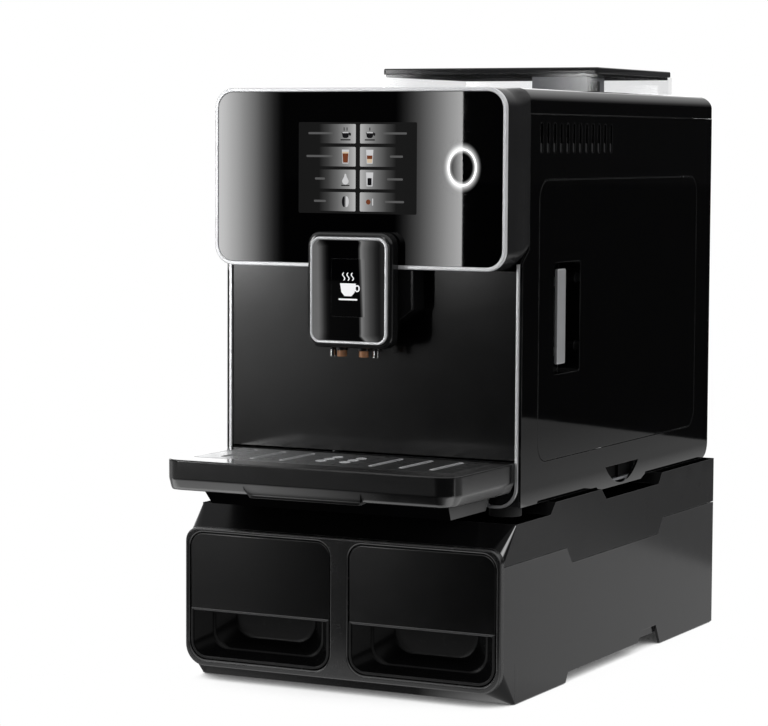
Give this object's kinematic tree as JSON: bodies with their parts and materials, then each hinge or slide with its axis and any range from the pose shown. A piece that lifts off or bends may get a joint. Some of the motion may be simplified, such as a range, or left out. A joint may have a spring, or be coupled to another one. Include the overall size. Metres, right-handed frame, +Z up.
{
  "type": "hot coffee vending machine",
  "caption": "Bean-to-cup hot drinks machine with touch front, sliding spout, drip tray, side service door and bean hopper, on a base cabinet with pull-out drawers.",
  "frame": {"origin": "centre of the bounding box on the floor", "axes": "+Z up, the front faces -Y, +X is the viewer's right when facing the front"},
  "size_m": [0.3202, 0.599, 0.5696],
  "materials": {
    "cabinet_black": "satin moulded",
    "casing_black": "high-gloss lacquer",
    "drawer_black": "gloss with fine satin edge",
    "box_grey": "fine-textured moulded",
    "foot_rubber": "matt",
    "sheet_steel": "zinc-plated sheet",
    "panel_grey": "fine powder coat",
    "screw_steel": "zinc plated",
    "trim_chrome": "polished",
    "rim_silver": "satin anodised",
    "glass_black": "back-painted toughened glass",
    "screen": "lit display",
    "ring_white": "lit light guide",
    "button_black": "gloss",
    "board_green": "printed circuit board",
    "spout_black": "gloss moulded",
    "rod_steel": "ground rod",
    "bracket_grey": "moulded",
    "nozzle_brown": "coffee-tinted moulded",
    "nozzle_steel": "drawn tube",
    "tray_black": "gloss moulded",
    "pan_black": "satin moulded",
    "grid_steel": "stainless plate",
    "handle_silver": "brushed, anodised",
    "hopper_clear": "clear moulded",
    "lid_smoke": "smoked moulded",
    "chute_grey": "moulded",
    "knob_black": "ribbed",
    "grinder_alu": "cast",
    "burr_steel": "hardened steel",
    "motor_dark": "painted",
    "brew_plastic": "moulded",
    "piston_dark": "moulded",
    "boiler_steel": "stainless",
    "pump_black": "moulded",
    "hose_clear": "silicone",
    "supply_steel": "extruded",
    "switch_red": "moulded"
  },
  "bodies": {
    "machine": {"base_cabinet": "cabinet_black", "base_front_frame": "cabinet_black", "base_top_frame": "cabinet_black", "rubber_feet": "foot_rubber", "bottom_plate": "sheet_steel", "left_side_panel": "casing_black", "right_side_panel": "casing_black", "rear_panel": "panel_grey", "rear_screws": "screw_steel", "top_cover": "casing_black", "front_lower_panel": "cabinet_black", "backsplash": "glass_black", "trim_strips": "trim_chrome", "head_shell": "spout_black", "head_bezel": "rim_silver", "head_glass": "glass_black", "display_module": "screen", "ring_light": "ring_white", "control_board": "board_green", "spout_housing": "spout_black", "guide_rods": "rod_steel", "guide_brackets": "bracket_grey", "door_hinge_pins": "screw_steel", "door_hinge_brackets": "sheet_steel", "bean_hopper": "hopper_clear", "powder_chute": "chute_grey", "grinder_body": "grinder_alu", "ring_burr": "burr_steel", "grinder_motor": "motor_dark", "coffee_chute": "bracket_grey", "brew_frame": "sheet_steel", "brew_chamber": "brew_plastic", "inner_partition": "sheet_steel", "boiler": "boiler_steel", "water_pump": "pump_black", "hoses": "hose_clear", "power_supply": "supply_steel", "power_inlet": "button_black"},
    "left_drawer": {"left_drawer_front": "drawer_black", "left_drawer_box": "box_grey"},
    "right_drawer": {"right_drawer_front": "drawer_black", "right_drawer_box": "box_grey"},
    "spout": {"spout_carriage": "bracket_grey", "spout_shell": "spout_black", "spout_rim": "rim_silver", "spout_glass": "glass_black", "spout_display": "screen", "coffee_nozzles": "nozzle_brown", "milk_nozzles": "nozzle_steel"},
    "drip_tray": {"tray_frame": "tray_black", "drip_pan": "pan_black"},
    "drip_grid": {"drip_grid": "grid_steel"},
    "service_door": {"door_panel": "casing_black", "door_handle_bar": "handle_silver"},
    "hopper_lid": {"hopper_lid": "lid_smoke"},
    "grind_knob": {"grind_knob": "knob_black"},
    "power_button": {"power_button": "button_black"},
    "rocker_switch": {"rocker_switch": "switch_red"},
    "cone_burr": {"cone_burr": "burr_steel"},
    "brew_piston": {"brew_piston": "piston_dark"}
  },
  "joints": [
    {"name": "left_drawer_slide", "type": "slide", "parent": "machine", "child": "left_drawer", "axis": [0, -1, 0], "range_m": [0, 0.3]},
    {"name": "right_drawer_slide", "type": "slide", "parent": "machine", "child": "right_drawer", "axis": [0, -1, 0], "range_m": [0, 0.3]},
    {"name": "spout_slide", "type": "slide", "parent": "machine", "child": "spout", "axis": [0, 0, 1], "range_m": [-0.06, 0.01]},
    {"name": "drip_tray_slide", "type": "slide", "parent": "machine", "child": "drip_tray", "axis": [0, -1, 0], "range_m": [0, 0.085]},
    {"name": "drip_grid_lift", "type": "slide", "parent": "drip_tray", "child": "drip_grid", "axis": [0, 0, 1], "range_m": [0, 0.03]},
    {"name": "service_door_hinge", "type": "hinge", "parent": "machine", "child": "service_door", "pos_m": [0.145, 0.2315, 0.336], "axis": [0, 0, 1], "range_deg": [0, 110]},
    {"name": "hopper_lid_lift", "type": "slide", "parent": "machine", "child": "hopper_lid", "axis": [0, 0, 1], "range_m": [0, 0.06]},
    {"name": "grind_knob_turn", "type": "hinge", "parent": "machine", "child": "grind_knob", "pos_m": [0.1095, 0.086, 0.545], "axis": [0, 0, 1], "range_deg": [-135, 135]},
    {"name": "power_button_press", "type": "slide", "parent": "machine", "child": "power_button", "axis": [0, 1, 0], "range_m": [0, 0.0015]},
    {"name": "rocker_switch_tilt", "type": "hinge", "parent": "machine", "child": "rocker_switch", "pos_m": [-0.07, 0.2925, 0.211], "axis": [1, 0, 0], "range_deg": [0, 14]},
    {"name": "burr_spin", "type": "hinge", "parent": "machine", "child": "cone_burr", "pos_m": [0.005, 0.1575, 0.47], "axis": [0, 0, 1], "continuous": true},
    {"name": "brew_piston_slide", "type": "slide", "parent": "machine", "child": "brew_piston", "axis": [0, 0, -1], "range_m": [0, 0.06]}
  ]
}
